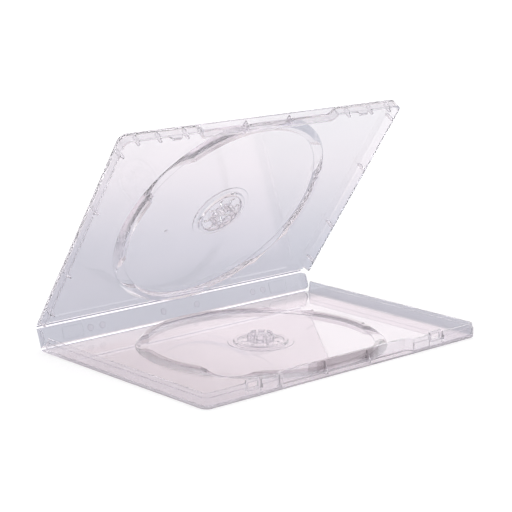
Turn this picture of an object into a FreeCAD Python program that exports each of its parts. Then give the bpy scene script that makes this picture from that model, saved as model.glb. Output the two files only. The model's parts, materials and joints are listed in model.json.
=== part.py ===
import FreeCAD, Part
import math
import os

# A clear two-disc case, moulded flat in one shot and folded at two thin hinges.
# Millimetres. Every cover is drawn lying flat on its outer face, hinge at y = 0, opening edge at -y.

# Closed case
case_length = 190.0
case_depth = 135.0
case_thickness = 14.0

# Pose at rest, in degrees up from lying flat
spine_angle = 70.4
lid_angle = 54.5

# Panels and walls
panel_thickness = 1.2
corner_radius = 4.5
edge_radius = 1.0
inner_fillet = 1.0
back_wall = 1.7
back_wall_height = 7.9
lip_inset = 0.7
lip_height = 2.1
front_wall = 1.2
closing_gap = 0.2

# Living hinges
hinge_height = 0.4
hinge_half_groove = 1.35
groove_slope = 0.6
web_thickness = 0.5
web_gap = 0.25
web_end_inset = 1.2

# Ends of the side walls beside the spine
wall_end_foot = 4.1
wall_end_top = 5.2

# Spine
flange_depth = 4.0
flange_thickness = 1.2
flange_corner = 2.2
flange_inset = 0.6
flange_foot = 0.7
pad_length = 13.0
pad_width = 6.5
pad_corner = 1.0
pad_from_end = 15.0
pad_raise = 0.3

# Thumb notch in both opening edges
notch_half_length = 46.0
notch_depth = 4.0
notch_corner = 3.0
notch_rib_place = 15.0

# Ribs on the front cover's walls
rib_thickness = 0.8
rib_depth = 3.4
rib_proud = 1.2
rib_clearance = 0.3
rib_tip_chamfer = 0.5
rib_places_front = (55.5, 72.5, 86.0)
rib_places_side = (14.0, 42.5, 87.0, 124.5)

# Latches
latch_place = 64.0
hook_root_width = 8.0
hook_tip_width = 5.0
hook_reach = 2.4
hook_thickness = 1.0
hook_clearance = 0.4
pocket_side_gap = 0.8
pocket_floor_gap = 1.6
bead_foot = 1.1
bead_height = 0.7
bead_bite = 0.6
window_width = 6.4
window_floor_gap = 0.8
window_height = 2.6
plate_thickness = 0.9
plate_raise = 1.1

# Disc well
hub_from_hinge = 66.4
ring_inner_radius = 60.5
ring_draft = 0.3
ring_crest = 2.5
ring_slope = 3.5
back_ring_height = 2.4
front_ring_height = 3.4
ring_back_gap = 1.6
finger_angle = 34.0
finger_half_width = 16.0
finger_reach = 5.8
finger_step = 0.25

# Hub ring and land around it
hub_bore_radius = 12.6
hub_ring_radius = 14.8
hub_ring_height = 1.5
hub_ring_chamfer = 0.4
land_radius = 17.8
land_height = 0.25

# Hub button
tooth_count = 8
button_gap = 0.3
button_floor = 1.4
button_thickness = 1.0
slot_width = 0.9
slot_kink = 1.1
slot_start = 2.2
slot_end = 11.0
tooth_inner_radius = 5.7
tooth_outer_radius = 7.3
tooth_arc = 31.0
tooth_rise = 3.6
tooth_bead = 0.3
tooth_bead_rise = 1.7
tooth_bead_ramp = 0.6
tooth_lead_in = 0.8

# Worked out from the sizes above
cover_depth = case_depth - hinge_height
spine_pitch = case_thickness - 2 * hinge_height
front_wall_height = case_thickness - back_wall_height - closing_gap
half_length = case_length / 2
hub_rim = panel_thickness + hub_ring_height
ring_crest_radius = ring_inner_radius + ring_draft + ring_crest
overlap = 0.2
far = 2 * case_length
hair = 1e-6


def vec(x, y, z):
    return FreeCAD.Vector(x, y, z)


def block(low, high):
    """A box between two opposite corners."""
    size = vec(*high) - vec(*low)
    return Part.makeBox(size.x, size.y, size.z, vec(*low))


def profile_prism(points, direction):
    """A closed outline of straight edges pushed along a direction."""
    wire = Part.makePolygon([*points, points[0]])
    return Part.Face(wire).extrude(direction)


def turned(points):
    """A solid of revolution about z from an outline of (radius, height) points."""
    outline = [vec(radius, 0, height) for radius, height in points]
    wire = Part.makePolygon([*outline, outline[0]])
    return Part.Face(wire).revolve(vec(0, 0, 0), vec(0, 0, 1), 360)


def rounded_edges(solid, radius, wanted):
    """Fillets the edges whose middle point passes a test."""
    edges = [edge for edge in solid.Edges if wanted(edge.CenterOfMass, edge)]
    return solid.makeFillet(radius, edges)


def at_height(height):
    """A test for edges that lie level at a height."""

    def wanted(_, edge):
        return all(abs(vertex.Z - height) < hair for vertex in edge.Vertexes)

    return wanted


def cover_prism(inset, back, low, high):
    """The plan of a cover, set in from its edge: square at the hinge, round at the opening corners."""
    side = half_length - inset
    front = inset - cover_depth
    round_off = corner_radius - inset
    slant = round_off * (1 - math.sqrt(0.5))
    corners = [
        vec(-side, back, low),
        vec(-side, front + round_off, low),
        vec(-side + slant, front + slant, low),
        vec(-side + round_off, front, low),
        vec(side - round_off, front, low),
        vec(side - slant, front + slant, low),
        vec(side, front + round_off, low),
        vec(side, back, low),
    ]
    edges = [
        Part.LineSegment(corners[0], corners[1]),
        Part.Arc(corners[1], corners[2], corners[3]),
        Part.LineSegment(corners[3], corners[4]),
        Part.Arc(corners[4], corners[5], corners[6]),
        Part.LineSegment(corners[6], corners[7]),
        Part.LineSegment(corners[7], corners[0]),
    ]
    wire = Part.Wire([edge.toShape() for edge in edges])
    return Part.Face(wire).extrude(vec(0, 0, high - low))


def notch_block(margin, low, high):
    """The space of the thumb notch, grown by a margin at its ends and its inner side."""
    reach = notch_half_length + margin
    solid = block((-reach, -far, low), (reach, notch_depth + margin - cover_depth, high))
    inner = notch_depth + margin - cover_depth

    def wanted(middle, edge):
        upright = abs(edge.Vertexes[0].Z - edge.Vertexes[1].Z) > 0.5 * (high - low)
        return upright and abs(middle.y - inner) < hair

    return rounded_edges(solid, notch_corner + margin, wanted)


def cover_shell(wall, wall_height, step_inset, step_height):
    """Panel with walls on three sides. The walls step in by step_inset over their top step_height."""
    hinge_edge = -hinge_half_groove
    shoulder = wall_height - step_height

    def outer_rim(middle, edge):
        return at_height(0)(middle, edge) and middle.y < hinge_edge - hair

    shell = rounded_edges(cover_prism(0, hinge_edge, 0, shoulder), edge_radius, outer_rim)
    if step_height > 0:
        shell = shell.fuse(cover_prism(step_inset, hinge_edge, shoulder, wall_height))
    inside = cover_prism(wall, far, panel_thickness, far)
    inside = inside.cut(notch_block(wall, 0, 2 * far))
    inside = rounded_edges(inside, inner_fillet, at_height(panel_thickness))
    shell = shell.cut(inside)
    shell = shell.cut(notch_block(0, panel_thickness, far))
    return shell.cut(wall_end_cut(wall_height)).cut(groove_side(hinge_edge, -1))


def wall_end_cut(wall_height):
    """Takes the side walls away beside the spine, along a slight slant."""
    slope = (wall_end_top - wall_end_foot) / (wall_height - panel_thickness)
    beyond = wall_end_top + slope * wall_height
    points = [
        vec(-far, -wall_end_foot, panel_thickness),
        vec(-far, -beyond, 2 * wall_height),
        vec(-far, far, 2 * wall_height),
        vec(-far, far, panel_thickness),
    ]
    return profile_prism(points, vec(2 * far, 0, 0))


def groove_side(edge, inwards):
    """A wedge that slopes a panel's inner face down to the hinge. inwards is the side the panel is on."""
    top = 2 * panel_thickness - web_thickness
    points = [
        vec(-far, edge, web_thickness),
        vec(-far, edge + 2 * inwards * groove_slope, top),
        vec(-far, edge, top),
    ]
    return profile_prism(points, vec(2 * far, 0, 0))


def notch_ribs(wall_height):
    """Two gussets between the finger lip and the wall that is set back."""
    low = panel_thickness - overlap
    front = edge_radius - cover_depth
    back = notch_depth + overlap - cover_depth
    ribs = []
    for place in (-notch_rib_place, notch_rib_place):
        left = place - rib_thickness / 2
        points = [vec(left, front, low), vec(left, back, low), vec(left, back, wall_height)]
        points.append(vec(left, back - overlap - rib_thickness, wall_height))
        ribs.append(profile_prism(points, vec(rib_thickness, 0, 0)))
    return ribs


def finger_scoop():
    """The space of one finger scoop, a round bite out of the ring at the +x side of the hub."""
    reach = ring_inner_radius + finger_reach
    bite = reach - math.sqrt(ring_inner_radius ** 2 - finger_half_width ** 2)
    radius = (bite ** 2 + finger_half_width ** 2) / (2 * bite)
    return Part.makeCylinder(radius, far, vec(reach - radius, 0, panel_thickness + finger_step))


def disc_ring(wall, height):
    """The ridge round a disc: steep inside, sloping outside, scooped out at four finger places."""
    low = panel_thickness - overlap
    top = panel_thickness + height
    outer_radius = ring_crest_radius + ring_slope
    points = [
        (ring_inner_radius, low),
        (ring_inner_radius + ring_draft, top),
        (ring_crest_radius, top),
        (outer_radius, panel_thickness),
        (outer_radius, low),
    ]
    ring = turned(points)
    for turn in (finger_angle, 180 - finger_angle, -finger_angle, 180 + finger_angle):
        scoop = finger_scoop()
        scoop.rotate(vec(0, 0, 0), vec(0, 0, 1), turn)
        ring = ring.cut(scoop)
    ring.translate(vec(0, -hub_from_hinge, 0))
    ring = ring.common(cover_prism(wall / 2, -hinge_half_groove - ring_back_gap, 0, far))
    return ring.cut(notch_block(wall / 2, 0, far))


def hub_ring():
    """The raised ring that a disc rests on, and the shallow land round it."""
    low = panel_thickness - overlap
    points = [
        (hub_bore_radius - overlap, low),
        (hub_bore_radius - overlap, hub_rim),
        (hub_ring_radius - hub_ring_chamfer, hub_rim),
        (hub_ring_radius, hub_rim - hub_ring_chamfer),
        (hub_ring_radius, panel_thickness + land_height),
        (land_radius - land_height, panel_thickness + land_height),
        (land_radius, panel_thickness),
        (land_radius, low),
    ]
    ring = turned(points)
    ring.translate(vec(0, -hub_from_hinge, 0))
    return ring


def hub_bore():
    return Part.makeCylinder(hub_bore_radius, far, vec(0, -hub_from_hinge, -panel_thickness))


def hinge_web(near, away):
    """Half of a thin hinge, from the panel's edge almost to the fold line."""
    reach = half_length - web_end_inset
    return block((-reach, min(near, away), 0), (reach, max(near, away), web_thickness))


def cover_web():
    return hinge_web(-hinge_half_groove - overlap, -web_gap)


def latch_sides():
    return (-latch_place, latch_place)


def back_latches(shell):
    """A pocket in the wall for each hook, backed by a plate with a window that the hook's bead enters."""
    pocket_depth = front_wall + rib_clearance
    pocket_half = hook_root_width / 2 + pocket_side_gap
    hook_end = case_thickness - front_wall_height - hook_reach
    pocket_floor = hook_end - pocket_floor_gap
    window_floor = hook_end - window_floor_gap
    outside = -cover_depth
    for place in latch_sides():
        low = (place - pocket_half, -far, pocket_floor)
        shell = shell.cut(block(low, (place + pocket_half, outside + pocket_depth, far)))
        face = outside + pocket_depth
        high = (place + pocket_half, face + plate_thickness, back_wall_height)
        plate = block((place - pocket_half, face, panel_thickness - overlap), high)
        tongue_half = pocket_half - hook_clearance
        tongue_low = (place - tongue_half, face, back_wall_height - overlap)
        tongue_high = (place + tongue_half, face + plate_thickness, back_wall_height + plate_raise)
        shell = shell.fuse(plate).fuse(block(tongue_low, tongue_high))
        window_low = (place - window_width / 2, face - overlap, window_floor)
        window_high = (place + window_width / 2, face + 2 * plate_thickness, window_floor + window_height)
        shell = shell.cut(block(window_low, window_high))
    return shell


def front_hooks():
    """Tapered hooks that carry on past the wall's free edge, with a bead on their inner face."""
    root = front_wall_height
    tip = root + hook_reach
    outer = (front_wall - hook_thickness) / 2 - cover_depth
    inner = outer + hook_thickness
    hooks = []
    for place in latch_sides():
        wide = hook_root_width / 2
        narrow = hook_tip_width / 2
        points = [
            vec(place - wide, outer, root - hook_thickness),
            vec(place + wide, outer, root - hook_thickness),
            vec(place + wide, outer, root),
            vec(place + narrow, outer, tip),
            vec(place - narrow, outer, tip),
            vec(place - wide, outer, root),
        ]
        hooks.append(profile_prism(points, vec(0, hook_thickness, 0)))
        left = place - narrow
        bead = [
            vec(left, inner - overlap, tip - bead_foot),
            vec(left, inner + bead_bite, tip - bead_height),
            vec(left, inner + bead_bite, tip - bead_height / 2),
            vec(left, inner - overlap, tip),
        ]
        hooks.append(profile_prism(bead, vec(hook_tip_width, 0, 0)))
    return hooks


def wall_rib():
    """One rib, drawn with its depth along x from the wall's outer face and its height along z.
    Past the wall's free edge it is set in, so that it slides down inside the other cover's wall."""
    low = panel_thickness - overlap
    root = front_wall - overlap
    tip = front_wall_height + rib_proud
    inside = back_wall + rib_clearance
    points = [
        vec(root, 0, low),
        vec(rib_depth, 0, low),
        vec(rib_depth, 0, tip - rib_tip_chamfer),
        vec(rib_depth - rib_tip_chamfer, 0, tip),
        vec(inside, 0, tip),
        vec(inside, 0, front_wall_height),
        vec(root, 0, front_wall_height),
    ]
    rib = profile_prism(points, vec(0, rib_thickness, 0))
    rib.translate(vec(0, -rib_thickness / 2, 0))
    return rib


def front_ribs():
    """Ribs along the opening wall and up both side walls."""
    ribs = []
    for place in rib_places_front:
        for side in (-1, 1):
            rib = wall_rib()
            rib.rotate(vec(0, 0, 0), vec(0, 0, 1), 90)
            rib.translate(vec(side * place, -cover_depth, 0))
            ribs.append(rib)
    for place in rib_places_side:
        for side in (0, 180):
            rib = wall_rib()
            rib.translate(vec(-half_length, 0, 0))
            rib.rotate(vec(0, 0, 0), vec(0, 0, 1), side)
            rib.translate(vec(0, -place, 0))
            ribs.append(rib)
    return ribs


def finish_cover(shell, extras, wall, ring_height):
    """Adds what both covers share and opens the hub."""
    shell = shell.multiFuse([*extras, disc_ring(wall, ring_height), hub_ring(), cover_web()])
    return shell.cut(hub_bore()).removeSplitter()


def make_back_cover():
    shell = cover_shell(back_wall, back_wall_height, lip_inset, lip_height)
    shell = back_latches(shell)
    return finish_cover(shell, notch_ribs(back_wall_height), back_wall, back_ring_height)


def make_front_cover():
    shell = cover_shell(front_wall, front_wall_height, 0, 0)
    extras = [*notch_ribs(front_wall_height), *front_ribs(), *front_hooks()]
    return finish_cover(shell, extras, front_wall, front_ring_height)


def spine_flange(side):
    """The wall at one end of the spine, rounded at its free corners, with a sloping foot."""
    outer = side * half_length
    inner = side * (half_length - flange_thickness)
    front = hinge_half_groove + flange_inset
    back = spine_pitch - hinge_half_groove - flange_inset
    low = panel_thickness - overlap
    wall = block((min(outer, inner), front, low), (max(outer, inner), back, flange_depth))

    def free_corner(middle, edge):
        return at_height(flange_depth)(middle, edge) and abs(edge.Vertexes[0].Y - edge.Vertexes[-1].Y) < hair

    foot = [
        vec(inner - side * (flange_foot + overlap), front, low),
        vec(inner + side * overlap, front, low),
        vec(inner + side * overlap, front, panel_thickness + flange_foot + overlap),
    ]
    return [rounded_edges(wall, flange_corner, free_corner), profile_prism(foot, vec(0, back - front, 0))]


def spine_pad(side):
    """A plain raised pad near one end of the spine."""
    start = side * (half_length - pad_from_end)
    end = start - side * pad_length
    middle = spine_pitch / 2
    low = (min(start, end), middle - pad_width / 2, panel_thickness - overlap)
    high = (max(start, end), middle + pad_width / 2, panel_thickness + pad_raise)

    def upright(_, edge):
        return abs(edge.Vertexes[0].Z - edge.Vertexes[-1].Z) > overlap

    return rounded_edges(block(low, high), pad_corner, upright)


def make_spine():
    """The panel between the hinges, with a rounded wall at each end and two plain pads."""
    low_edge = hinge_half_groove
    high_edge = spine_pitch - hinge_half_groove
    panel = block((-half_length, low_edge, 0), (half_length, high_edge, panel_thickness))

    def end_edge(middle, edge):
        return at_height(0)(middle, edge) and abs(middle.x) > half_length - hair

    panel = rounded_edges(panel, edge_radius, end_edge)
    panel = panel.cut(groove_side(low_edge, 1)).cut(groove_side(high_edge, -1))
    pieces = [hinge_web(web_gap, low_edge + overlap), hinge_web(high_edge - overlap, spine_pitch - web_gap)]
    for side in (-1, 1):
        pieces.extend([*spine_flange(side), spine_pad(side)])
    return panel.multiFuse(pieces).removeSplitter()


def zigzag_slot():
    """A slot through the hub button's floor: straight between two teeth, bent sideways at both ends."""
    half = slot_width / 2
    bend = (tooth_outer_radius + slot_end) / 2
    path = [
        (slot_start, -slot_kink / 2),
        (tooth_inner_radius, 0),
        (tooth_outer_radius, 0),
        (bend, slot_kink),
        (slot_end, 0),
    ]
    left = [vec(along, across + half, 0) for along, across in path]
    right = [vec(along, across - half, 0) for along, across in reversed(path)]
    return profile_prism(left + right, vec(0, 0, far))


def crown_tooth():
    """One upright tooth with a small bead that a disc's hole snaps under."""
    top = hub_rim + tooth_rise
    bead = hub_rim + tooth_bead_rise
    outline = [
        (tooth_inner_radius, button_floor),
        (tooth_outer_radius, button_floor),
        (tooth_outer_radius, bead - tooth_bead_ramp),
        (tooth_outer_radius + tooth_bead, bead),
        (tooth_outer_radius - tooth_lead_in, top),
        (tooth_inner_radius, top),
    ]
    points = [vec(radius, 0, height) for radius, height in outline]
    face = Part.Face(Part.makePolygon([*points, points[0]]))
    tooth = face.revolve(vec(0, 0, 0), vec(0, 0, 1), tooth_arc)
    tooth.rotate(vec(0, 0, 0), vec(0, 0, 1), -tooth_arc / 2)
    return tooth


def make_hub_button():
    """A springy floor cut by zigzag slots, with the upright teeth of a crown between them."""
    pitch = 360 / tooth_count
    floor_radius = hub_bore_radius - button_gap
    button = Part.makeCylinder(floor_radius, button_thickness, vec(0, 0, button_floor))
    slots = []
    teeth = []
    for index in range(tooth_count):
        tooth = crown_tooth()
        tooth.rotate(vec(0, 0, 0), vec(0, 0, 1), index * pitch)
        teeth.append(tooth)
        slot = zigzag_slot()
        slot.rotate(vec(0, 0, 0), vec(0, 0, 1), (index + 0.5) * pitch)
        slots.append(slot)
    button = button.cut(slots).multiFuse(teeth).removeSplitter()
    button.translate(vec(0, -hub_from_hinge, 0))
    return button


def folded(shape, pivot, angle):
    shape.rotate(vec(0, pivot, hinge_height), vec(1, 0, 0), angle)
    return shape


def as_front(shape):
    """Turns a flat cover to the far side of the spine and folds it up with the spine."""
    shape.rotate(vec(0, 0, 0), vec(0, 0, 1), 180)
    shape.translate(vec(0, spine_pitch, 0))
    return folded(folded(shape, spine_pitch, lid_angle), 0, spine_angle)


def build():
    """All pieces at rest, centred over the middle of the space they stand on."""
    pieces = {
        "back_cover": make_back_cover(),
        "spine": folded(make_spine(), 0, spine_angle),
        "front_cover": as_front(make_front_cover()),
        "back_hub_button": make_hub_button(),
        "front_hub_button": as_front(make_hub_button()),
    }
    extent = Part.makeCompound(list(pieces.values())).optimalBoundingBox(False)
    shift = -(extent.YMin + extent.YMax) / 2
    for piece in pieces.values():
        piece.translate(vec(0, shift, 0))
    return pieces, shift


def main():
    pieces, shift = build()
    os.makedirs("parts", exist_ok=True)
    for name, piece in pieces.items():
        print(name, "solids", len(piece.Solids), "volume", round(piece.Volume, 1), "valid", piece.isValid())
        solid = piece.Solids[0]
        solid.exportStep(f"parts/{name}.step")
    fold = math.radians(spine_angle)
    front_hinge_y = shift + spine_pitch * math.cos(fold)
    front_hinge_z = hinge_height + spine_pitch * math.sin(fold)
    print("back hinge y z", round(shift, 4), hinge_height)
    print("front hinge y z", round(front_hinge_y, 4), round(front_hinge_z, 4))


main()
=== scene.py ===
# %% [markdown]
# A clear moulded case for two discs, standing open
# The real case is one shot of clear polypropylene that folds at two thin hinges. Its solids come from
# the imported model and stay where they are. This script adds what solids alone can't show: the plastic
# itself, the creased films of the hinges, the thin skin round each hub and the marks of the mould.

# %% Load the frame
import json
import math

import bmesh
import bpy
from mathutils import Matrix, Vector
from mathutils.bvhtree import BVHTree


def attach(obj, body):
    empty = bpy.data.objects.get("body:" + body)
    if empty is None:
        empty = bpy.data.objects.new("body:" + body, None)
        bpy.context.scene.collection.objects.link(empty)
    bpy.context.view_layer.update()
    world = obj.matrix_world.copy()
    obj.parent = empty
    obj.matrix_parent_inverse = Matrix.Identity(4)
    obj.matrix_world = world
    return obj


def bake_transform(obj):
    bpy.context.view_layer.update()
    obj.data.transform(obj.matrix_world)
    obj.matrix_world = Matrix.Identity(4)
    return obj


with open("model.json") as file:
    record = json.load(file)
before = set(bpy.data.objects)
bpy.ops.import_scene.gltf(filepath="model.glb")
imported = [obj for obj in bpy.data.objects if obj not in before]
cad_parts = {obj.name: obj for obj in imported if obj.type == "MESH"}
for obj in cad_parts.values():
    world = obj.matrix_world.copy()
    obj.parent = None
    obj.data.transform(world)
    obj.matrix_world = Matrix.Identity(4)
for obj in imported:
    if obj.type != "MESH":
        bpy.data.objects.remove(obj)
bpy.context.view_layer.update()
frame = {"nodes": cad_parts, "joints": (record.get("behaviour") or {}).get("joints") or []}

nodes = frame["nodes"]
joints = {joint["name"]: joint for joint in frame["joints"]}
scene = bpy.context.scene
mm = 0.001

# %% [markdown]
# The camera
# The place of the lens was worked out from the edges of the case, whose real sizes are known. A camera
# could be aimed by eye with a Track To constraint, but the three axes of its view written straight into
# its matrix keep the small roll that the picture has.

# %% Place the camera
eye = Vector((-561.73, -635.46, 240.40)) * mm
view_turn = math.radians(-41.385)
view_rise = math.radians(12.796)
view_roll = math.radians(-0.286)
focal_pixels = 1651.99
picture_pixels = 512
sensor_mm = 36

back_axis = Vector((
    math.sin(view_turn) * math.cos(view_rise),
    -math.cos(view_turn) * math.cos(view_rise),
    math.sin(view_rise),
))
level_axis = Vector((math.cos(view_turn), math.sin(view_turn), 0))
upright_axis = back_axis.cross(level_axis)
right_axis = level_axis * math.cos(view_roll) + upright_axis * math.sin(view_roll)
up_axis = upright_axis * math.cos(view_roll) - level_axis * math.sin(view_roll)

lens = bpy.data.cameras.new("case_camera")
lens.sensor_width = sensor_mm
lens.lens = sensor_mm * (focal_pixels / picture_pixels)
lens.clip_start = 0.01
lens.clip_end = 50
camera = bpy.data.objects.new("case_camera", lens)
scene.collection.objects.link(camera)
axes = Matrix((right_axis, up_axis, back_axis)).transposed()
camera.matrix_world = Matrix.Translation(eye) @ axes.to_4x4()
scene.camera = camera
print("lens in mm:", round(lens.lens, 1))

# %% [markdown]
# The studio
# Clear things are shown by what is behind them, so the sky is white to the camera and graded to rays that
# pass through the plastic or mirror in it. One flat white for all rays would be simpler, but clear walls
# would then vanish in it. Light turns many times inside thin clear walls, so the light paths are allowed
# many bounces: with few, the edges of clear plastic go black.

# %% Prepare the view and the light paths
scene.view_settings.view_transform = "Standard"
path_bounces = 64
scene.cycles.max_bounces = path_bounces
scene.cycles.transmission_bounces = path_bounces
scene.cycles.glossy_bounces = path_bounces
scene.cycles.transparent_max_bounces = 32


def add(tree, kind, **settings):
    """A node of a kind, with its settings."""
    node = tree.nodes.new(kind)
    for name, value in settings.items():
        setattr(node, name, value)
    return node


def ramp(tree, stops):
    """A colour ramp with (place, colour) stops."""
    node = add(tree, "ShaderNodeValToRGB")
    elements = node.color_ramp.elements
    while len(elements) > 1:
        elements.remove(elements[-1])
    for index, (place, colour) in enumerate(stops):
        stop = elements[0] if index == 0 else elements.new(place)
        stop.position = place
        stop.color = (*colour, 1)
    return node


def mixed(tree, share, first, second, blend_type="MIX"):
    """Two colours mixed, the second where the share is 1. Each is a socket or a plain value."""
    mix = add(tree, "ShaderNodeMix", data_type="RGBA", blend_type=blend_type)
    colour_sockets = (mix.inputs[0], mix.inputs[6], mix.inputs[7])
    for socket, value in zip(colour_sockets, (share, first, second)):
        if isinstance(value, bpy.types.NodeSocket):
            tree.links.new(value, socket)
        else:
            socket.default_value = value
    return mix.outputs[2]


def seen_rays(tree):
    """Camera rays, and rays that mirror in or pass through the plastic, each as 0 or 1."""
    path = add(tree, "ShaderNodeLightPath")
    inside = add(tree, "ShaderNodeMath", operation="MAXIMUM")
    tree.links.new(path.outputs["Is Glossy Ray"], inside.inputs[0])
    tree.links.new(path.outputs["Is Transmission Ray"], inside.inputs[1])
    return path.outputs["Is Camera Ray"], inside.outputs[0]


print("bounces allowed:", path_bounces)

# %% Paint the sky
sky_light = 0.75
sky_tint = (0.96, 0.97, 1.0)
level_view = (0.66, 0.75, 0)
world = bpy.data.worlds.new("studio_sky")
scene.world = world
world.use_nodes = True
sky = world.node_tree
sky.nodes.clear()
path = add(sky, "ShaderNodeLightPath")
toward = add(sky, "ShaderNodeTexCoord")
onward = add(sky, "ShaderNodeVectorMath", operation="DOT_PRODUCT")
onward.inputs[1].default_value = level_view
sky.links.new(toward.outputs["Generated"], onward.inputs[0])
ahead = add(sky, "ShaderNodeMapRange")
ahead.inputs["From Min"].default_value = -1
sky.links.new(onward.outputs["Value"], ahead.inputs["Value"])
mirrored_sky = ramp(sky, [(0.3, (0.45, 0.43, 0.44)), (0.6, (1.0, 1.0, 1.0))])
pierced_sky = ramp(sky, [
    (0.25, (0.50, 0.46, 0.50)),
    (0.52, (0.60, 0.56, 0.59)),
    (0.68, (0.97, 0.91, 0.92)),
])

layer = add(sky, "ShaderNodeBackground")
layer.inputs["Color"].default_value = (*sky_tint, 1)
layer.inputs["Strength"].default_value = sky_light
for rays, colour in (
    ("Is Glossy Ray", mirrored_sky),
    ("Is Transmission Ray", pierced_sky),
    ("Is Camera Ray", None),
):
    backdrop = add(sky, "ShaderNodeBackground")
    backdrop.inputs["Color"].default_value = (1, 1, 1, 1)
    if colour:
        sky.links.new(ahead.outputs[0], colour.inputs["Fac"])
        sky.links.new(colour.outputs["Color"], backdrop.inputs["Color"])
    either = add(sky, "ShaderNodeMixShader")
    sky.links.new(path.outputs[rays], either.inputs[0])
    sky.links.new(layer.outputs[0], either.inputs[1])
    sky.links.new(backdrop.outputs[0], either.inputs[2])
    layer = either
sky_out = add(sky, "ShaderNodeOutputWorld")
sky.links.new(layer.outputs[0], sky_out.inputs["Surface"])
print("sky light:", sky_light)

# %% [markdown]
# The paper
# The case stands on a sheet of paper, and a clear thing takes most of its colour from what it stands on.
# One white sheet could do for an opaque object. Here rays that come through the plastic see the sheet
# glow with painted light and shade: a warm painted light under the case, painted shade close beside it
# and a cool painted shadow behind it. The camera's own rays see it pale, with a soft shadow.

# %% Lay the paper
floor_half = 4.0
floor_drop = 0.0003
floor_mesh = bpy.data.meshes.new("studio_floor")
corners = [(-1, -1), (1, -1), (1, 1), (-1, 1)]
floor_points = [(x * floor_half, y * floor_half, -floor_drop) for x, y in corners]
floor_mesh.from_pydata(floor_points, [], [(0, 1, 2, 3)])
floor = bpy.data.objects.new("studio_floor", floor_mesh)
scene.collection.objects.link(floor)
print("paper is", 2 * floor_half, "m wide")

# %% Grade the paper by distance, with a painted shadow close behind the case
matte_grey = 0.32
paper = bpy.data.materials.new("studio_paper")
paper.use_nodes = True
tree = paper.node_tree
tree.nodes.clear()
matte = add(tree, "ShaderNodeBsdfDiffuse")
matte.inputs["Color"].default_value = (matte_grey, matte_grey, matte_grey, 1)
place = add(tree, "ShaderNodeTexCoord")
apart = add(tree, "ShaderNodeSeparateXYZ")
distance = add(tree, "ShaderNodeVectorMath", operation="LENGTH")
for sink in (apart, distance):
    tree.links.new(place.outputs["Object"], sink.inputs[0])
white_grade = ramp(tree, [(0.15, (0.68,) * 3), (0.9, (0.92,) * 3)])
# Painted shadow: seen through the plastic, the paper is dark and cool close to the case and pale far off,
# standing in for the shadow the case throws behind it.
painted_shadow_grade = ramp(tree, [
    (0.10, (0.29, 0.31, 0.38)),
    (0.25, (0.37, 0.39, 0.46)),
    (0.55, (0.69, 0.66, 0.69)),
    (0.90, (0.82, 0.81, 0.82)),
])
for grade in (white_grade, painted_shadow_grade):
    tree.links.new(distance.outputs["Value"], grade.inputs["Fac"])
print("stops in the pale grade:", len(painted_shadow_grade.color_ramp.elements))

# %% Mask the paper under the case
under_edges = {"X": (-0.094, 0.094), "Y": (-0.066, 0.052)}
edge_blur = 0.004
masks = []
for axis, (start, end) in under_edges.items():
    for edge, inside in ((start, 1), (end, -1)):
        fade = add(tree, "ShaderNodeMapRange", interpolation_type="SMOOTHSTEP")
        fade.inputs["From Min"].default_value = edge - inside * edge_blur
        fade.inputs["From Max"].default_value = edge + inside * edge_blur
        tree.links.new(apart.outputs[axis], fade.inputs["Value"])
        masks.append(fade.outputs[0])
under = masks[0]
for mask in masks[1:]:
    both = add(tree, "ShaderNodeMath", operation="MULTIPLY")
    tree.links.new(under, both.inputs[0])
    tree.links.new(mask, both.inputs[1])
    under = both.outputs[0]
print("edges masked:", len(masks))

# %% Paint light and shade on the paper along the case
graded_left = -0.5


def along_x(stops):
    """A colour that changes along x, from (place in metres, colour) stops."""
    shifted = add(tree, "ShaderNodeMath", operation="ADD")
    shifted.inputs[1].default_value = -graded_left
    colours = ramp(tree, [(x - graded_left, colour) for x, colour in stops])
    tree.links.new(apart.outputs["X"], shifted.inputs[0])
    tree.links.new(shifted.outputs[0], colours.inputs["Fac"])
    return colours.outputs["Color"]


shade_behind = along_x([(-0.35, (1.0,) * 3), (0.0, (0.95,) * 3), (0.25, (1.0,) * 3)])
shade_beside = along_x([(0.0, (1.0,) * 3), (0.098, (0.42, 0.46, 0.52))])
# Painted light: the paper under the case is warm, as if lit through the pink plastic, with painted shade
# towards the left.
painted_light_under_case = along_x([
    (-0.09, (0.40, 0.33, 0.36)),
    (0.0, (0.78, 0.70, 0.74)),
    (0.06, (0.84, 0.76, 0.81)),
])
print("grades begin at x =", graded_left, "m")

# %% Paint shade on the paper close beside the case
case_half = {"X": 0.095, "Y": 0.068}
gaps = []
for axis, half in case_half.items():
    size = add(tree, "ShaderNodeMath", operation="ABSOLUTE")
    gap = add(tree, "ShaderNodeMath", operation="SUBTRACT")
    gap.inputs[1].default_value = half
    tree.links.new(apart.outputs[axis], size.inputs[0])
    tree.links.new(size.outputs[0], gap.inputs[0])
    gaps.append(gap.outputs[0])
rim = add(tree, "ShaderNodeMath", operation="MAXIMUM")
tree.links.new(gaps[0], rim.inputs[0])
tree.links.new(gaps[1], rim.inputs[1])
# Painted shade: the paper is darker in a rim round the case, standing in for its contact shade, and
# clears further out.
painted_contact_shade = ramp(tree, [
    (0.0, (0.56, 0.53, 0.57)),
    (0.012, (0.62, 0.59, 0.63)),
    (0.05, (0.74, 0.70, 0.73)),
])
tree.links.new(rim.outputs[0], painted_contact_shade.inputs["Fac"])
beside = mixed(tree, 1.0, painted_contact_shade.outputs["Color"], shade_beside, "MULTIPLY")
behind = mixed(tree, 1.0, painted_shadow_grade.outputs["Color"], shade_behind, "MULTIPLY")
print("paper clears over", round(painted_contact_shade.color_ramp.elements[-1].position / mm), "mm")

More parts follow.
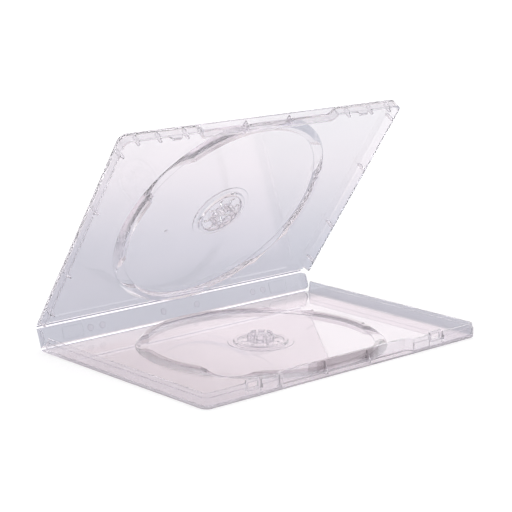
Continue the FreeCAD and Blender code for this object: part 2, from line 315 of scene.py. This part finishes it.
# %% Join the papers and let them glow
behind_from = 0.075
beside_from = 0.06
in_front = add(tree, "ShaderNodeMapRange", interpolation_type="SMOOTHSTEP")
in_front.inputs["From Min"].default_value = behind_from
in_front.inputs["From Max"].default_value = beside_from
tree.links.new(apart.outputs["Y"], in_front.inputs["Value"])
# Painted light and shade on the paper, seen only by rays that pass through or mirror in the plastic.
painted_paper_light = mixed(tree, in_front.outputs[0], behind, beside)
painted_paper_light = mixed(tree, under, painted_paper_light, painted_light_under_case)

by_camera, by_plastic = seen_rays(tree)
paper_sum = matte
for colour, rays in ((white_grade.outputs["Color"], by_camera), (painted_paper_light, by_plastic)):
    glow = add(tree, "ShaderNodeEmission")
    tree.links.new(colour, glow.inputs["Color"])
    tree.links.new(rays, glow.inputs["Strength"])
    joined = add(tree, "ShaderNodeAddShader")
    tree.links.new(paper_sum.outputs[0], joined.inputs[0])
    tree.links.new(glow.outputs[0], joined.inputs[1])
    paper_sum = joined
paper_out = add(tree, "ShaderNodeOutputMaterial")
tree.links.new(paper_sum.outputs[0], paper_out.inputs["Surface"])
floor_mesh.materials.append(paper)
print("paper has", len(tree.nodes), "nodes")

# %% [markdown]
# The lamps
# Two large soft boxes light the paper, one overhead and one at the left, as in a small product studio.
# Bare lamps would show as hard white squares in the plastic, so the boxes are hidden from rays that pass
# through it or mirror in it, and only their light stays.

# %% Hang the lamps
def soft_box(name, place, aim, size, power, colour):
    """A square area lamp that faces a point."""
    lamp = bpy.data.lights.new(name, "AREA")
    lamp.shape = "SQUARE"
    lamp.size = size
    lamp.energy = power
    lamp.color = colour
    holder = bpy.data.objects.new(name, lamp)
    holder.location = place
    holder.rotation_euler = (Vector(aim) - Vector(place)).to_track_quat("-Z", "Y").to_euler()
    holder.visible_transmission = False
    holder.visible_glossy = False
    scene.collection.objects.link(holder)


lamp_looks = {
    "top_box": {
        "place": (0.25, 0.1, 1.3), "aim": (0, 0, 0),
        "size": 1.2, "power": 9, "colour": (1.0, 0.96, 0.96),
    },
    "left_box": {
        "place": (-1.2, -0.5, 0.7), "aim": (0, 0, 0.03),
        "size": 0.9, "power": 4, "colour": (0.93, 0.96, 1.0),
    },
}
for name, look in lamp_looks.items():
    soft_box(name, **look)
print("lamps hung:", len(lamp_looks))

# %% [markdown]
# How the shot flowed
# A mould fills from the hub outwards, and the plastic freezes with faint clouds, ripples and a skin that
# isn't equally glossy all over. Every piece of the case shows this, so it is one shader group that is
# placed in each material with its own values. An image of it could be painted, but noise on Object
# coordinates needs no seams and goes through all the walls.

# %% Build the shared flow group
flow_group = bpy.data.node_groups.new("moulded_flow", "ShaderNodeTree")
for socket_name, kind, start in (
    ("Place", "NodeSocketVector", None),
    ("Cloud Size", "NodeSocketFloat", 0.03),
    ("Gloss Low", "NodeSocketFloat", 0.03),
    ("Gloss High", "NodeSocketFloat", 0.06),
):
    socket = flow_group.interface.new_socket(socket_name, in_out="INPUT", socket_type=kind)
    if start is not None:
        socket.default_value = start
for socket_name in ("Cloud", "Roughness", "Height"):
    flow_group.interface.new_socket(socket_name, in_out="OUTPUT", socket_type="NodeSocketFloat")

ripples_to_cloud = 9.0
ripple_share = 0.35
noise_low = 0.3
noise_high = 0.7
given = add(flow_group, "NodeGroupInput")
result = add(flow_group, "NodeGroupOutput")
wide = add(flow_group, "ShaderNodeMath", operation="DIVIDE")
wide.inputs[0].default_value = 1.0
cloud = add(flow_group, "ShaderNodeTexNoise")
cloud.inputs["Detail"].default_value = 2.0
ripple_rate = add(flow_group, "ShaderNodeMath", operation="MULTIPLY")
ripple_rate.inputs[1].default_value = ripples_to_cloud
ripple = add(flow_group, "ShaderNodeTexNoise")
ripple.inputs["Detail"].default_value = 1.0
even = add(flow_group, "ShaderNodeMix", data_type="FLOAT")
even.inputs[0].default_value = ripple_share
gloss = add(flow_group, "ShaderNodeMapRange")
gloss.inputs["From Min"].default_value = noise_low
gloss.inputs["From Max"].default_value = noise_high
flow_links = flow_group.links
flow_links.new(given.outputs["Cloud Size"], wide.inputs[1])
flow_links.new(wide.outputs[0], cloud.inputs["Scale"])
flow_links.new(wide.outputs[0], ripple_rate.inputs[0])
flow_links.new(ripple_rate.outputs[0], ripple.inputs["Scale"])
for noise in (cloud, ripple):
    flow_links.new(given.outputs["Place"], noise.inputs["Vector"])
flow_links.new(cloud.outputs["Fac"], even.inputs[2])
flow_links.new(ripple.outputs["Fac"], even.inputs[3])
flow_links.new(even.outputs[0], gloss.inputs["Value"])
flow_links.new(given.outputs["Gloss Low"], gloss.inputs["To Min"])
flow_links.new(given.outputs["Gloss High"], gloss.inputs["To Max"])
flow_links.new(cloud.outputs["Fac"], result.inputs["Cloud"])
flow_links.new(gloss.outputs[0], result.inputs["Roughness"])
flow_links.new(even.outputs[0], result.inputs["Height"])
print("flow group has", len(flow_group.nodes), "nodes")

# %% [markdown]
# The three flat sheets
# The real case is moulded lying flat and then folded, so its small features are easiest to place on the
# flat sheets: x along the hinge, a run away from the hinge, and a height over the outer face. A matrix
# for each sheet, turned by the angle it has been folded to, carries those places into the row frame.

# %% Lay out the sheets
hinge_height = 0.4
spine_angle = 70.4
lid_angle = 54.5
back_pivot = Vector(joints["back_hinge"]["pos_m"]) / mm
front_pivot = Vector(joints["front_hinge"]["pos_m"]) / mm


def sheet_frame(pivot, angle):
    """Carries (x, run, height) in mm on a sheet folded up by an angle to the row frame in metres."""
    turn = Matrix.Rotation(math.radians(angle), 4, "X")
    to_pivot = Matrix.Translation((0, 0, -hinge_height))
    return Matrix.Scale(mm, 4) @ Matrix.Translation(pivot) @ turn @ to_pivot


back_sheet = sheet_frame(back_pivot, 0)
spine_sheet = sheet_frame(back_pivot, spine_angle)
front_sheet = sheet_frame(front_pivot, spine_angle + lid_angle)
spine_end_sheet = sheet_frame(front_pivot, spine_angle)
print("lid stands at", round(spine_angle + lid_angle, 1), "degrees")

# %% [markdown]
# Where the edges are
# On clear plastic every edge and rib shows as a thin grey line, because light that enters there is turned
# aside. Here that grey is painted shade in the plastic's colour. The lines could be drawn as thin curves
# along each edge, but a Bevel node finds them by itself: it looks round each point for faces that turn
# another way, and where it finds some its normal leans.

# %% Build the shared edge group
edge_group = bpy.data.node_groups.new("moulded_edges", "ShaderNodeTree")
edge_group.interface.new_socket("Reach", in_out="INPUT", socket_type="NodeSocketFloat")
edge_group.interface.new_socket("Edge", in_out="OUTPUT", socket_type="NodeSocketFloat")
lean_start = 0.985
lean_full = 0.86
given = add(edge_group, "NodeGroupInput")
result = add(edge_group, "NodeGroupOutput")
rounded = add(edge_group, "ShaderNodeBevel", samples=4)
face = add(edge_group, "ShaderNodeNewGeometry")
lean = add(edge_group, "ShaderNodeVectorMath", operation="DOT_PRODUCT")
line = add(edge_group, "ShaderNodeMapRange", interpolation_type="SMOOTHSTEP")
line.inputs["From Min"].default_value = lean_start
line.inputs["From Max"].default_value = lean_full
edge_links = edge_group.links
edge_links.new(given.outputs["Reach"], rounded.inputs["Radius"])
edge_links.new(rounded.outputs["Normal"], lean.inputs[0])
edge_links.new(face.outputs["True Normal"], lean.inputs[1])
edge_links.new(lean.outputs["Value"], line.inputs["Value"])
edge_links.new(line.outputs[0], result.inputs["Edge"])
print("edge group has", len(edge_group.nodes), "nodes")

# %% [markdown]
# The thick disc rings
# The ring round each disc is the thickest plastic in the case, so it looks greyer than the thin panel it
# stands on, and its slopes turn light aside into a dark band. The grey of the thick plastic and the
# painted shade of that band are both put in the ring's colour. It could have a material of its own, but
# ring and panel are one moulding with no seam. A mask is made instead: it grows with the height over the
# panel, and only at the ring's distance from the hub.

# %% Build the shared ring group
ring_group = bpy.data.node_groups.new("disc_ring_depth", "ShaderNodeTree")
for socket_name, kind in (
    ("Place", "NodeSocketVector"),
    ("Inner", "NodeSocketFloat"),
    ("Outer", "NodeSocketFloat"),
    ("Foot", "NodeSocketFloat"),
    ("Top", "NodeSocketFloat"),
):
    ring_group.interface.new_socket(socket_name, in_out="INPUT", socket_type=kind)
ring_group.interface.new_socket("Ring", in_out="OUTPUT", socket_type="NodeSocketFloat")
given = add(ring_group, "NodeGroupInput")
result = add(ring_group, "NodeGroupOutput")
along = add(ring_group, "ShaderNodeSeparateXYZ")
level = add(ring_group, "ShaderNodeCombineXYZ")
reach = add(ring_group, "ShaderNodeVectorMath", operation="LENGTH")
past_inner = add(ring_group, "ShaderNodeMath", operation="GREATER_THAN")
in_outer = add(ring_group, "ShaderNodeMath", operation="LESS_THAN")
band = add(ring_group, "ShaderNodeMath", operation="MULTIPLY")
rise = add(ring_group, "ShaderNodeMapRange")
depth = add(ring_group, "ShaderNodeMath", operation="MULTIPLY")
ring_links = ring_group.links
ring_links.new(given.outputs["Place"], along.inputs[0])
for axis in "XY":
    ring_links.new(along.outputs[axis], level.inputs[axis])
ring_links.new(level.outputs[0], reach.inputs[0])
for compare, limit in ((past_inner, "Inner"), (in_outer, "Outer")):
    ring_links.new(reach.outputs["Value"], compare.inputs[0])
    ring_links.new(given.outputs[limit], compare.inputs[1])
ring_links.new(past_inner.outputs[0], band.inputs[0])
ring_links.new(in_outer.outputs[0], band.inputs[1])
ring_links.new(along.outputs["Z"], rise.inputs["Value"])
ring_links.new(given.outputs["Foot"], rise.inputs["From Min"])
ring_links.new(given.outputs["Top"], rise.inputs["From Max"])
ring_links.new(band.outputs[0], depth.inputs[0])
ring_links.new(rise.outputs[0], depth.inputs[1])
ring_links.new(depth.outputs[0], result.inputs["Ring"])
print("ring group has", len(ring_group.nodes), "nodes")

# %% [markdown]
# The plastic
# Clear polypropylene is glossy outside and faintly milky and grey all through. One Principled shader with
# plain transmission is the clear body, with a small share left over for the milk, and a coat on its outer
# side is the gloss. The index is set low, because the haze in the plastic hides much of the bending. The
# grey could be in the tint alone, but Volume Absorption grows with the length of the way through, so that
# edges and ribs turn darker than panels by themselves. Light that turns inside a wall many times ends as
# an even glow, which keeps the edges calm. Shadow rays go straight through, so the case doesn't throw the
# black shadow of a solid thing.

# %% Grey the disc rings with painted shade
hub_run = 66.4
ring_inner = 60.2
ring_outer = 67.2
ring_foot = 1.25


def ring_shaded(tree, place, colour, sheet, run, top, ring_shade_tint):
    """A colour that goes over to the ring's painted shade where a disc ring is thick."""
    to_hub = Matrix.Translation((0, -run * mm, 0)) @ Matrix.Scale(mm, 4) @ sheet.inverted()
    turned = add(tree, "ShaderNodeMapping")
    turned.inputs["Location"].default_value = to_hub.to_translation()
    turned.inputs["Rotation"].default_value = to_hub.to_euler()
    thick = add(tree, "ShaderNodeGroup", node_tree=ring_group)
    limits = {"Inner": ring_inner, "Outer": ring_outer, "Foot": ring_foot, "Top": top}
    for limit, value in limits.items():
        thick.inputs[limit].default_value = value * mm
    tree.links.new(place, turned.inputs["Vector"])
    tree.links.new(turned.outputs[0], thick.inputs["Place"])
    # Painted shade: where the ring is thick its colour goes darker, partly the grey of thick plastic and
    # partly the dark band its slopes show.
    return mixed(tree, thick.outputs["Ring"], colour, (*ring_shade_tint, 1))


print("rings are", round(ring_outer - ring_inner, 1), "mm wide")

# %% Gloss the outer side and calm the deep light
body_index = 1.24
coat_index = 1.5
coat_roughness = 0.02
trapped_depth = 5.5
trapped_glow = (1.0, 0.97, 1.0)
shadow_tint = (0.98, 0.955, 0.965)


def clear_skin(tree, clear):
    """A Principled shader with a clear share and a coat on its outer side alone."""
    skin = add(tree, "ShaderNodeBsdfPrincipled")
    skin.inputs["IOR"].default_value = body_index
    skin.inputs["Coat IOR"].default_value = coat_index
    skin.inputs["Coat Roughness"].default_value = coat_roughness
    skin.inputs["Transmission Weight"].default_value = clear
    sides = add(tree, "ShaderNodeNewGeometry")
    outside = add(tree, "ShaderNodeMath", operation="SUBTRACT")
    outside.inputs[0].default_value = 1.0
    tree.links.new(sides.outputs["Backfacing"], outside.inputs[1])
    tree.links.new(outside.outputs[0], skin.inputs["Coat Weight"])
    return skin


def calmed(tree, skin):
    """A skin that glows evenly to rays caught deep in a wall, and lets shadow rays straight through."""
    path = add(tree, "ShaderNodeLightPath")
    through = add(tree, "ShaderNodeBsdfTransparent")
    through.inputs["Color"].default_value = (*shadow_tint, 1)
    deep = add(tree, "ShaderNodeMath", operation="GREATER_THAN")
    deep.inputs[1].default_value = trapped_depth
    trapped = add(tree, "ShaderNodeEmission")
    trapped.inputs["Color"].default_value = (*trapped_glow, 1)
    caught = add(tree, "ShaderNodeMixShader")
    either = add(tree, "ShaderNodeMixShader")
    tree.links.new(path.outputs["Ray Depth"], deep.inputs[0])
    tree.links.new(deep.outputs[0], caught.inputs[0])
    tree.links.new(skin.outputs[0], caught.inputs[1])
    tree.links.new(trapped.outputs[0], caught.inputs[2])
    tree.links.new(path.outputs["Is Shadow Ray"], either.inputs[0])
    tree.links.new(caught.outputs[0], either.inputs[1])
    tree.links.new(through.outputs[0], either.inputs[2])
    return either.outputs[0]


print("light counts as trapped after", math.ceil(trapped_depth), "turns")

# %% Put the plastic together
edge_reach = 0.00035
ripple_height = 0.000001
tint_stops = (0.35, 0.65)
fold_glow = 0.40
depth_tint = (0.67, 0.655, 0.68)
depth_density = 65


def moulded_plastic(name, tints, painted_edge_shade, clear, gloss, cloud_size, ring=None, crease_shade=None):
    """A plastic with two tints that drift into each other and a share that is clear, the rest milky."""
    material = bpy.data.materials.new(name)
    material.use_nodes = True
    tree = material.node_tree
    tree.nodes.clear()
    links = tree.links
    place = add(tree, "ShaderNodeTexCoord").outputs["Object"]
    flow = add(tree, "ShaderNodeGroup", node_tree=flow_group)
    flow.inputs["Cloud Size"].default_value = cloud_size
    flow.inputs["Gloss Low"].default_value = gloss[0]
    flow.inputs["Gloss High"].default_value = gloss[1]
    edges = add(tree, "ShaderNodeGroup", node_tree=edge_group)
    edges.inputs["Reach"].default_value = edge_reach
    tint = ramp(tree, zip(tint_stops, tints))
    links.new(place, flow.inputs["Place"])
    links.new(flow.outputs["Cloud"], tint.inputs["Fac"])
    # Painted shade: the edge lines are darkened in the colour, for the light that edges turn aside.
    colour = mixed(tree, edges.outputs["Edge"], tint.outputs["Color"], (*painted_edge_shade, 1))
    if ring:
        colour = ring_shaded(tree, place, colour, **ring)
    skin = clear_skin(tree, clear)
    # Painted shade and light: the fold of the hinge film is darkened in the colour, and the film's faint
    # glow is a painted highlight.
    if crease_shade:
        fold = add(tree, "ShaderNodeAttribute", attribute_name="crease")
        colour = mixed(tree, fold.outputs["Fac"], colour, (*crease_shade, 1))
        links.new(colour, skin.inputs["Emission Color"])
        skin.inputs["Emission Strength"].default_value = fold_glow
    bump = add(tree, "ShaderNodeBump")
    bump.inputs["Distance"].default_value = ripple_height
    links.new(flow.outputs["Height"], bump.inputs["Height"])
    links.new(bump.outputs["Normal"], skin.inputs["Normal"])
    links.new(flow.outputs["Roughness"], skin.inputs["Roughness"])
    links.new(colour, skin.inputs["Base Color"])
    depth = add(tree, "ShaderNodeVolumeAbsorption")
    depth.inputs["Color"].default_value = (*depth_tint, 1)
    depth.inputs["Density"].default_value = depth_density
    out = add(tree, "ShaderNodeOutputMaterial")
    links.new(calmed(tree, skin), out.inputs["Surface"])
    links.new(depth.outputs[0], out.inputs["Volume"])
    return material


print("edge lines reach", round(edge_reach / mm, 2), "mm")

# %% Mix the plastics
cover_look = {
    "tints": ((0.91, 0.895, 0.912), (0.89, 0.88, 0.897)),
    "painted_edge_shade": (0.38, 0.38, 0.44),
    "clear": 0.95,
    "gloss": (0.06, 0.11),
    "cloud_size": 0.045,
}
clear_plastic = moulded_plastic("clear_plastic", **cover_look)
back_ring = {
    "sheet": back_sheet, "run": -hub_run, "top": 3.4, "ring_shade_tint": (0.50, 0.465, 0.485),
}
front_ring = {
    "sheet": front_sheet, "run": hub_run, "top": 4.4, "ring_shade_tint": (0.97, 0.95, 0.98),
}
finishes = {
    "back_cover": moulded_plastic("back_cover_plastic", ring=back_ring, **cover_look),
    "front_cover": moulded_plastic("front_cover_plastic", ring=front_ring, **cover_look),
    "spine": clear_plastic,
}
hub_plastic = moulded_plastic(
    "hub_plastic",
    tints=((0.92, 0.905, 0.922), (0.90, 0.885, 0.905)),
    painted_edge_shade=(0.14, 0.14, 0.18),
    clear=0.93,
    gloss=(0.08, 0.13),
    cloud_size=0.012,
)
whitened_plastic = moulded_plastic(
    "whitened_plastic",
    tints=((1.0, 0.985, 0.99), (0.95, 0.94, 0.95)),
    painted_edge_shade=(0.95, 0.94, 0.96),
    clear=0.1,
    gloss=(0.2, 0.4),
    cloud_size=0.008,
    crease_shade=(0.28, 0.28, 0.34),
)
for name, node in nodes.items():
    node.data.materials.clear()
    node.data.materials.append(finishes.get(name, hub_plastic))
print("plastic on", len(nodes), "nodes")

# %% [markdown]
# The hinge films
# A living hinge is a film of the same shot, a few tenths of a millimetre thick, that whitens where it is
# bent. In the solids the two webs stop short of each other so that they can turn, and the film closes
# that gap. It could be one flat strip, but it is drawn as the folded section it is, at the angles the
# case stands at.

# %% Draw the folded section
film_half = 1.3
film_reach = 94.6
film_top = 0.53
film_under = 0.505
film_neck = 0.24
film_outer = 0.12
crease_half = 0.40
crease_blur = 0.12
crease_points = (2, 3, 4)
arc_steps = 8


def film_section(before, after, angle):
    """The closed outline at x = 0 of a film between two sheets that meet at an angle."""
    corner_run = -(film_top - hinge_height) * math.tan(math.radians(angle) / 2)

    def on(sheet, run, height):
        return sheet @ Vector((0, run, height))

    outline = [
        on(before, -film_half, film_top),
        on(before, -crease_half - crease_blur, film_top),
        on(before, -crease_half, film_top),
        on(before, corner_run, film_top),
        on(after, crease_half, film_top),
        on(after, crease_half + crease_blur, film_top),
        on(after, film_half, film_top),
        on(after, film_half, film_under),
        on(after, film_neck, film_under),
        on(after, film_neck, film_outer),
    ]
    bend = hinge_height - film_outer
    for step in range(arc_steps + 1):
        turned = math.radians(angle * (1 - step / arc_steps))
        run, height = bend * math.sin(turned), hinge_height - bend * math.cos(turned)
        outline.append(on(before, run, height))
    outline += [
        on(before, -film_neck, film_outer),
        on(before, -film_neck, film_under),
        on(before, -film_half, film_under),
    ]
    return outline


def plain_piece(name, points, faces, material):
    """A closed mesh piece at the origin, its faces turned outwards."""
    mesh = bpy.data.meshes.new(name)
    shape = bmesh.new()
    verts = [shape.verts.new(point) for point in points]
    for face in faces:
        shape.faces.new([verts[index] for index in face])
    bmesh.ops.recalc_face_normals(shape, faces=shape.faces)
    shape.to_mesh(mesh)
    shape.free()
    mesh.materials.append(material)
    piece = bpy.data.objects.new(name, mesh)
    scene.collection.objects.link(piece)
    return piece


def push_along_x(section, reach):
    """Points and faces of an outline pushed from -reach to reach along x."""
    count = len(section)
    ends = (-reach * mm, reach * mm)
    points = [Vector((x, point.y, point.z)) for x in ends for point in section]
    faces = [(i, (i + 1) % count, count + (i + 1) % count, count + i) for i in range(count)]
    faces.append(tuple(range(count)))
    faces.append(tuple(range(2 * count - 1, count - 1, -1)))
    return points, faces


print("film is", film_half * 2, "mm wide")

# %% Fold the films
for name, bodies, sheets, pivot, first_angle, angle in (
    (
        "back_hinge_film", ("back", "spine"),
        (back_sheet, spine_sheet), back_pivot, 0, spine_angle,
    ),
    (
        "front_hinge_film", ("spine", "front"),
        (spine_end_sheet, front_sheet), front_pivot, spine_angle, lid_angle,
    ),
):
    section = film_section(*sheets, angle)
    points, faces = push_along_x(section, film_reach)
    film = plain_piece(name, points, faces, whitened_plastic)
    # The points in the crease carry the painted shade of the fold.
    crease = film.data.attributes.new("crease", "FLOAT", "POINT")
    for end in range(2):
        for point in crease_points:
            crease.data[end * len(section) + point].value = 1.0
    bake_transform(film)
    print(name, "has", len(film.data.polygons), "faces")

# %% [markdown]
# The skin round each hub
# The crown of a hub sits on a springy floor, cut by zigzag slots, which the mould joins to the hub ring
# by a thin skin. The skin gives when the crown is pressed. It could be left out, as it is only a few
# tenths wide, but then a ring of air would show round a floor that floats.

# %% Stretch the skins
skin_outer = 12.62
skin_inner = 12.28
skin_outer_heights = (2.25, 2.05)
skin_inner_heights = (1.55, 1.75)
skin_steps = 96
for name, bodies, sheet, run in (
    ("back_hub_skin", ("back", "back_button"), back_sheet, -hub_run),
    ("front_hub_skin", ("front", "front_button"), front_sheet, hub_run),
):
    section = [(skin_outer, height) for height in skin_outer_heights]
    section += [(skin_inner, height) for height in skin_inner_heights]
    points = []
    for step in range(skin_steps):
        turn = math.tau * step / skin_steps
        for radius, height in section:
            points.append(sheet @ Vector((
                radius * math.cos(turn), run + radius * math.sin(turn), height,
            )))
    faces = []
    count = len(section)
    for step in range(skin_steps):
        here, there = step * count, (step + 1) % skin_steps * count
        for i in range(count):
            j = (i + 1) % count
            faces.append((here + i, here + j, there + j, there + i))
    skin = plain_piece(name, points, faces, hub_plastic)
    start = sheet @ Vector((0, run, min(skin_outer_heights)))
    end = sheet @ Vector((0, run, max(skin_inner_heights)))
    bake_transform(skin)
    print(name, "has", len(skin.data.polygons), "faces")

# %% [markdown]
# Nubs and pin marks
# Small nubs stand on the disc rings and on the lid, and the pins that push the case out of its mould
# leave round marks on the spine. They repeat, so a Geometry Nodes tree makes them: it turns one dome to
# the surface under each place and stamps it there. They could be placed by hand one by one, but each
# height would then be a guess. Looking down on the solid from above finds the surface, so that every nub
# sits on what carries it.

# %% Build the nub tree
nub_tree = bpy.data.node_groups.new("moulded_nubs", "GeometryNodeTree")
nub_tree.is_modifier = True
nub_sockets = {}
for socket_name, kind, in_out in (
    ("Geometry", "NodeSocketGeometry", "INPUT"),
    ("Radius", "NodeSocketFloat", "INPUT"),
    ("Rise", "NodeSocketFloat", "INPUT"),
    ("Flatness", "NodeSocketFloat", "INPUT"),
    ("Sunk", "NodeSocketFloat", "INPUT"),
    ("Plastic", "NodeSocketMaterial", "INPUT"),
    ("Geometry", "NodeSocketGeometry", "OUTPUT"),
):
    socket = nub_tree.interface.new_socket(socket_name, in_out=in_out, socket_type=kind)
    if in_out == "INPUT":
        nub_sockets[socket_name] = socket.identifier

nub_segments = 24
nub_rings = 12
below_rim = -0.01
weld_reach = 0.001
given = add(nub_tree, "NodeGroupInput")
stamped = add(nub_tree, "NodeGroupOutput")
ball = add(nub_tree, "GeometryNodeMeshUVSphere")
ball.inputs["Segments"].default_value = nub_segments
ball.inputs["Rings"].default_value = nub_rings
ball.inputs["Radius"].default_value = 1.0
where = add(nub_tree, "GeometryNodeInputPosition")
split = add(nub_tree, "ShaderNodeSeparateXYZ")
lower = add(nub_tree, "FunctionNodeCompare", data_type="FLOAT", operation="LESS_THAN")
lower.inputs[1].default_value = below_rim
dome = add(nub_tree, "GeometryNodeDeleteGeometry", domain="POINT")
seat = add(nub_tree, "GeometryNodeMeshCircle", fill_type="NGON")
seat.inputs["Vertices"].default_value = nub_segments
seat.inputs["Radius"].default_value = 1.0
seat_down = add(nub_tree, "GeometryNodeFlipFaces")
closed = add(nub_tree, "GeometryNodeJoinGeometry")
merged = add(nub_tree, "GeometryNodeMergeByDistance")
merged.inputs["Distance"].default_value = weld_reach
lift = add(nub_tree, "ShaderNodeMath", operation="POWER", use_clamp=True)
flat_top = add(nub_tree, "ShaderNodeCombineXYZ")
shaped = add(nub_tree, "GeometryNodeSetPosition")
stretch = add(nub_tree, "ShaderNodeCombineXYZ")
sized = add(nub_tree, "GeometryNodeTransform")
settle = add(nub_tree, "ShaderNodeCombineXYZ")
down = add(nub_tree, "ShaderNodeMath", operation="MULTIPLY")
down.inputs[1].default_value = -1.0
facing = add(nub_tree, "GeometryNodeInputNamedAttribute", data_type="FLOAT_VECTOR")
facing.inputs["Name"].default_value = "facing"
aimed = add(nub_tree, "FunctionNodeAlignRotationToVector", axis="Z")
stamp = add(nub_tree, "GeometryNodeInstanceOnPoints")
solid = add(nub_tree, "GeometryNodeRealizeInstances")
finish = add(nub_tree, "GeometryNodeSetMaterial")

wire = nub_tree.links.new
wire(where.outputs[0], split.inputs[0])
wire(split.outputs["Z"], lower.inputs[0])
wire(ball.outputs["Mesh"], dome.inputs["Geometry"])
wire(lower.outputs[0], dome.inputs["Selection"])
wire(seat.outputs["Mesh"], seat_down.inputs["Mesh"])
wire(dome.outputs["Geometry"], closed.inputs["Geometry"])
wire(seat_down.outputs["Mesh"], closed.inputs["Geometry"])
wire(closed.outputs["Geometry"], merged.inputs["Geometry"])
wire(split.outputs["Z"], lift.inputs[0])
wire(given.outputs["Flatness"], lift.inputs[1])
wire(split.outputs["X"], flat_top.inputs["X"])
wire(split.outputs["Y"], flat_top.inputs["Y"])
wire(lift.outputs[0], flat_top.inputs["Z"])
wire(merged.outputs["Geometry"], shaped.inputs["Geometry"])
wire(flat_top.outputs[0], shaped.inputs["Position"])
wire(given.outputs["Radius"], stretch.inputs["X"])
wire(given.outputs["Radius"], stretch.inputs["Y"])
wire(given.outputs["Rise"], stretch.inputs["Z"])
wire(given.outputs["Sunk"], down.inputs[0])
wire(down.outputs[0], settle.inputs["Z"])
wire(shaped.outputs["Geometry"], sized.inputs["Geometry"])
wire(stretch.outputs[0], sized.inputs["Scale"])
wire(settle.outputs[0], sized.inputs["Translation"])
wire(facing.outputs["Attribute"], aimed.inputs["Vector"])
wire(given.outputs["Geometry"], stamp.inputs["Points"])
wire(sized.outputs["Geometry"], stamp.inputs["Instance"])
wire(aimed.outputs["Rotation"], stamp.inputs["Rotation"])
wire(stamp.outputs["Instances"], solid.inputs["Geometry"])
wire(solid.outputs["Geometry"], finish.inputs["Geometry"])
wire(given.outputs["Plastic"], finish.inputs["Material"])
wire(finish.outputs["Geometry"], stamped.inputs["Geometry"])
print("nub tree has", len(nub_tree.nodes), "nodes")

# %% Find the places on the solids
look_from = 9.0


def polar(run_sign, radius, angle):
    """A place on a cover, by its distance from the hub and its turn from +x to the opening edge."""
    turn = math.radians(angle)
    return radius * math.cos(turn), run_sign * (hub_run + radius * math.sin(turn))


def landed(node, sheet, places):
    """Row frame points and facings where lines straight down on a sheet first meet a solid."""
    tree = BVHTree.FromObject(nodes[node], bpy.context.evaluated_depsgraph_get())
    found = []
    down = sheet.to_3x3() @ Vector((0, 0, -1))
    for x, run in places:
        above = sheet @ Vector((x, run, look_from))
        point, facing, _, _ = tree.ray_cast(above, down.normalized())
        found.append((point, facing))
    return found


def stamp_nubs(name, body, spots, sizes):
    """One mesh of nubs at (point, facing) spots, riding on a body."""
    mesh = bpy.data.meshes.new(name)
    mesh.from_pydata([point for point, _ in spots], [], [])
    attribute = mesh.attributes.new("facing", "FLOAT_VECTOR", "POINT")
    attribute.data.foreach_set("vector", [value for _, facing in spots for value in facing])
    seed = bpy.data.objects.new(name + "_places", mesh)
    scene.collection.objects.link(seed)
    modifier = seed.modifiers.new("nubs", "NODES")
    modifier.node_group = nub_tree
    for socket_name, value in sizes.items():
        modifier[nub_sockets[socket_name]] = value
    modifier[nub_sockets["Plastic"]] = clear_plastic
    evaluated = seed.evaluated_get(bpy.context.evaluated_depsgraph_get())
    nubs = bpy.data.objects.new(name, bpy.data.meshes.new_from_object(evaluated))
    nubs.data.name = name
    seed.modifiers.remove(modifier)
    bpy.data.objects.remove(seed)
    scene.collection.objects.link(nubs)
    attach(nubs, body)
    print(name, "has", len(nubs.data.polygons), "faces on", len(spots), "places")


sunk = 0.05
nub_sizes = {"Radius": 0.9 * mm, "Rise": 0.55 * mm, "Flatness": 0.7, "Sunk": sunk * mm}
pin_sizes = {"Radius": 1.9 * mm, "Rise": 0.25 * mm, "Flatness": 0.3, "Sunk": sunk * mm}
print("nubs are", round(nub_sizes["Radius"] / mm * 2, 1), "mm wide")

# %% Stamp the nubs
back_places = [polar(-1, 63.2, -21.1), polar(-1, 62.6, 15.1), polar(-1, 64.7, -145.8)]
front_places = [
    polar(1, 61.3, 17.4), polar(1, 61.7, -20.9), polar(1, 61.5, -60.1), polar(1, 34.9, -167.5),
]
spine_pitch = 13.2
pin_places = [(x, spine_pitch / 2) for x in (-62, -54, -12, 12, 54, 62)]
stamp_nubs("back_nubs", "back", landed("back_cover", back_sheet, back_places), nub_sizes)
stamp_nubs("front_nubs", "front", landed("front_cover", front_sheet, front_places), nub_sizes)
stamp_nubs("spine_pin_marks", "spine", landed("spine", spine_sheet, pin_places), pin_sizes)
